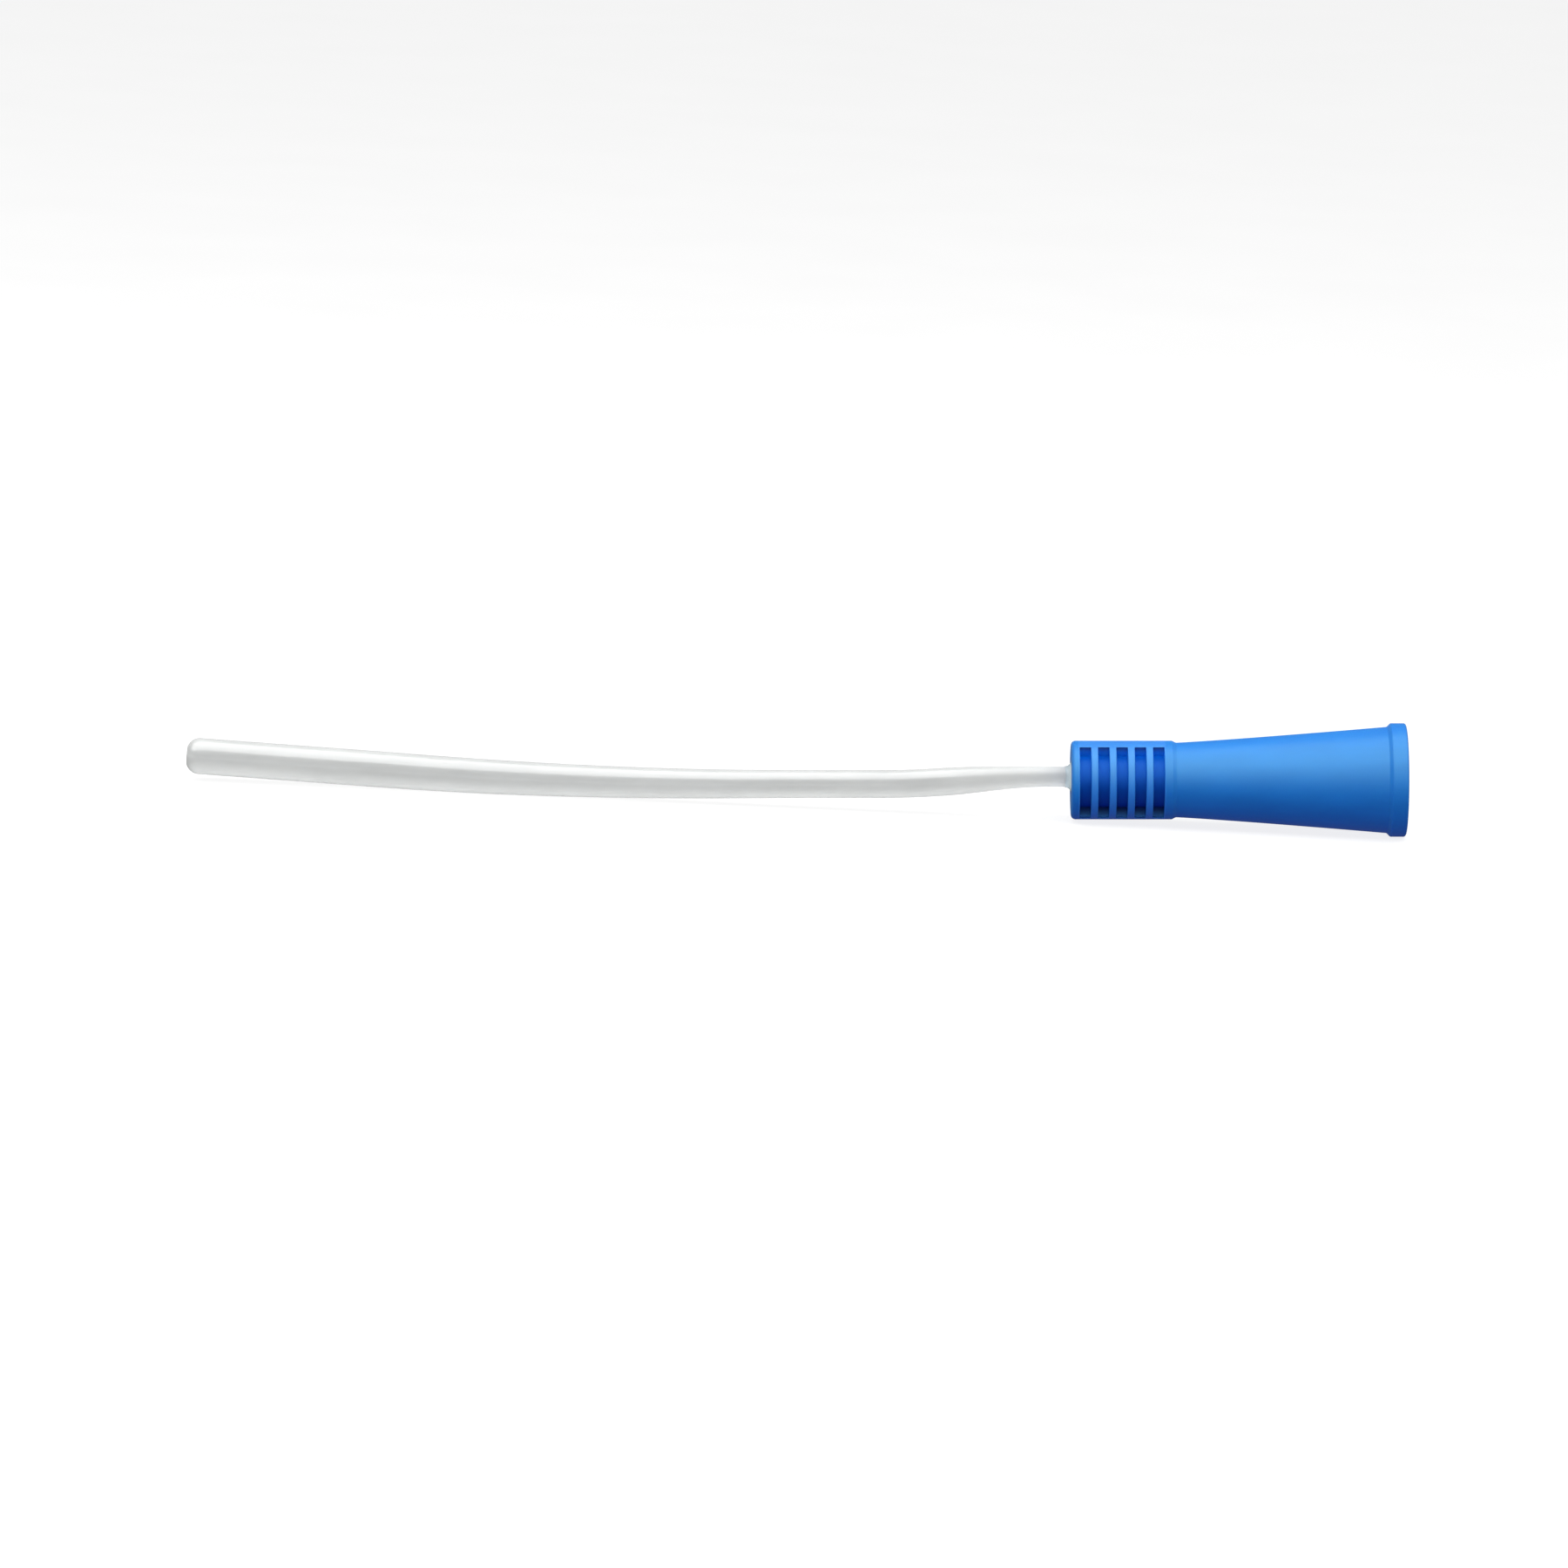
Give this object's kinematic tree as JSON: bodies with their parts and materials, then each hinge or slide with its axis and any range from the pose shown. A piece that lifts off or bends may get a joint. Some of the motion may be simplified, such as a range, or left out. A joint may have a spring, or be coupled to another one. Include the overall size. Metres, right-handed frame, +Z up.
{
  "type": "saliva ejector tip",
  "caption": "Slim, gently bowed suction tube with a sealed shaping wire, bonded into a soft funnel connector with a ribbed grip.",
  "frame": {"origin": "centre of the connector's mouth, in the plane of its end face", "axes": "+X out of the mouth along the sockets' common axis, so the tube runs towards -X; +Z up, the way the tip bows; +Y towards the side of the tube that holds the wire and the relief eyes"},
  "size_m": [0.15, 0.014, 0.014],
  "materials": {
    "connector": "satin soft PVC",
    "tube": "glossy milky soft PVC",
    "wire": "drawn, brass-plated steel",
    "adhesive": "clear, glossy"
  },
  "bodies": {
    "root": {"connector": "connector", "suction_tube": "tube", "shaping_wire": "wire", "bond_bead": "adhesive"}
  },
  "joints": []
}
